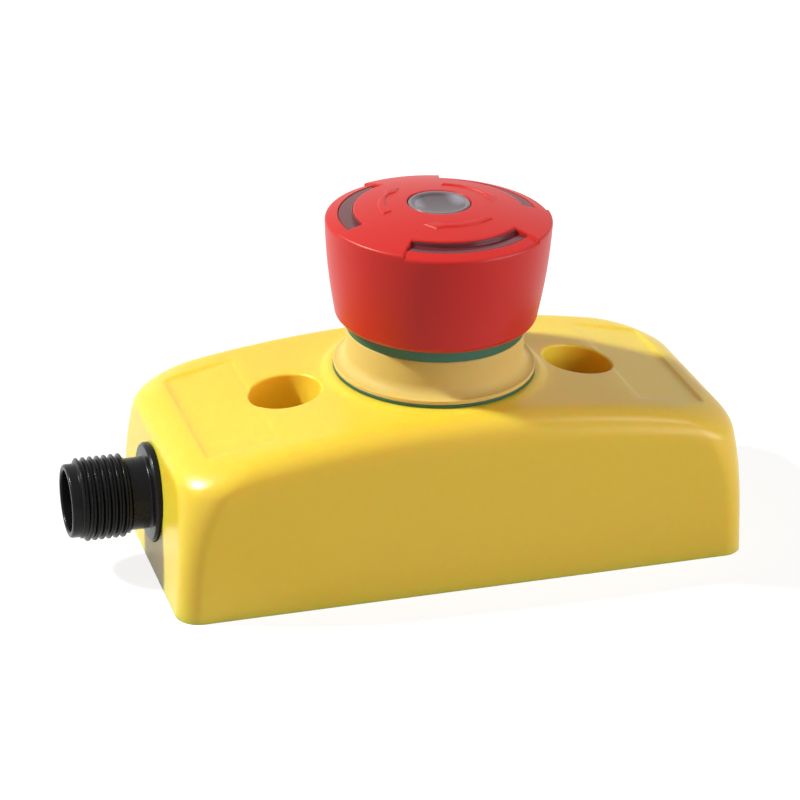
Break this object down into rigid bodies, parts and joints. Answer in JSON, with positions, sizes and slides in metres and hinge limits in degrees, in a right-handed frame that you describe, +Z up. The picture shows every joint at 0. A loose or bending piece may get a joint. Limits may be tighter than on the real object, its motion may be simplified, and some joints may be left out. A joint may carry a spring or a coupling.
{
  "type": "emergency stop push button",
  "caption": "Compact machine-mounted emergency stop: red push-to-latch, twist-to-release button on a yellow housing with a round threaded plug connector.",
  "frame": {"origin": "middle of the two mounting holes on the base plane", "axes": "+X along the housing, away from the connector; +Y to the back; +Z up out of the base, along the push axis"},
  "size_m": [0.0956, 0.04, 0.0508],
  "materials": {
    "yellow_shell": "satin moulded safety yellow",
    "black_moulding": "matte moulded black",
    "seal_rubber": "soft black rubber",
    "cream_moulding": "satin moulded pale yellow",
    "green_seal": "soft green rubber",
    "zinc_steel": "zinc plated",
    "green_moulding": "satin moulded green",
    "white_moulding": "natural white moulding",
    "spring_steel": "bright spring wire",
    "contact_brass": "stamped brass",
    "board_green": "green solder mask",
    "chip_black": "moulded epoxy",
    "led_clear": "clear epoxy",
    "connector_black": "satin glass-filled black",
    "nut_brass": "nickel plated brass",
    "pin_gold": "gold plated",
    "lead_jacket": "soft wire jacket",
    "pipe_clear": "clear acrylic",
    "bridge_copper": "stamped copper alloy",
    "pin_steel": "ground steel",
    "red_moulding": "satin moulded signal red",
    "smoke_moulding": "smoked translucent moulding",
    "window_clear": "polished smoked clear moulding"
  },
  "bodies": {
    "enclosure": {"housing": "yellow_shell", "base_plate": "black_moulding", "base_seal": "seal_rubber", "collar": "cream_moulding", "collar_seal": "green_seal", "collar_nut": "zinc_steel", "armed_ring": "green_moulding", "stem_seal": "seal_rubber", "latch_block": "white_moulding", "latch_springs": "spring_steel", "contact_block": "black_moulding", "fixed_contacts": "contact_brass", "contact_springs": "spring_steel", "return_spring": "spring_steel", "circuit_board": "board_green", "board_components": "chip_black", "board_screws": "zinc_steel", "status_led": "led_clear", "connector_body": "connector_black", "connector_seal": "seal_rubber", "connector_nut": "nut_brass", "connector_insert": "black_moulding", "connector_pins": "pin_gold", "connector_leads": "lead_jacket"},
    "plunger": {"plunger": "black_moulding", "light_pipe": "pipe_clear", "bridge_carrier": "white_moulding", "contact_bridge_front": "bridge_copper", "contact_bridge_back": "bridge_copper", "retaining_ring": "zinc_steel"},
    "latch_left": {"latch_pin_left": "pin_steel"},
    "latch_right": {"latch_pin_right": "pin_steel"},
    "button": {"cap": "red_moulding", "cap_core": "black_moulding", "light_ring": "smoke_moulding", "window_lens": "window_clear"}
  },
  "joints": [
    {"name": "button_push", "type": "slide", "parent": "enclosure", "child": "plunger", "axis": [0, 0, 1], "range_m": [-0.004, 0], "stiffness_N_per_m": 1200, "springref_m": 0.004, "deforming": ["return_spring", "contact_springs"]},
    {"name": "button_twist", "type": "hinge", "parent": "plunger", "child": "button", "pos_m": [0, 0, 0.046], "axis": [0, 0, 1], "range_deg": [-45, 0], "stiffness_Nm_per_rad": 0.1, "springref_deg": 11.46},
    {"name": "latch_left_slide", "type": "slide", "parent": "enclosure", "child": "latch_left", "axis": [1, 0, 0], "range_m": [0, 0.001]},
    {"name": "latch_right_slide", "type": "slide", "parent": "enclosure", "child": "latch_right", "axis": [-1, 0, 0], "range_m": [0, 0.001]}
  ],
  "couplings": [
    {"joint": "latch_left_slide", "follows": "button_push", "ratio": -0.25},
    {"joint": "latch_right_slide", "follows": "button_push", "ratio": -0.25}
  ]
}
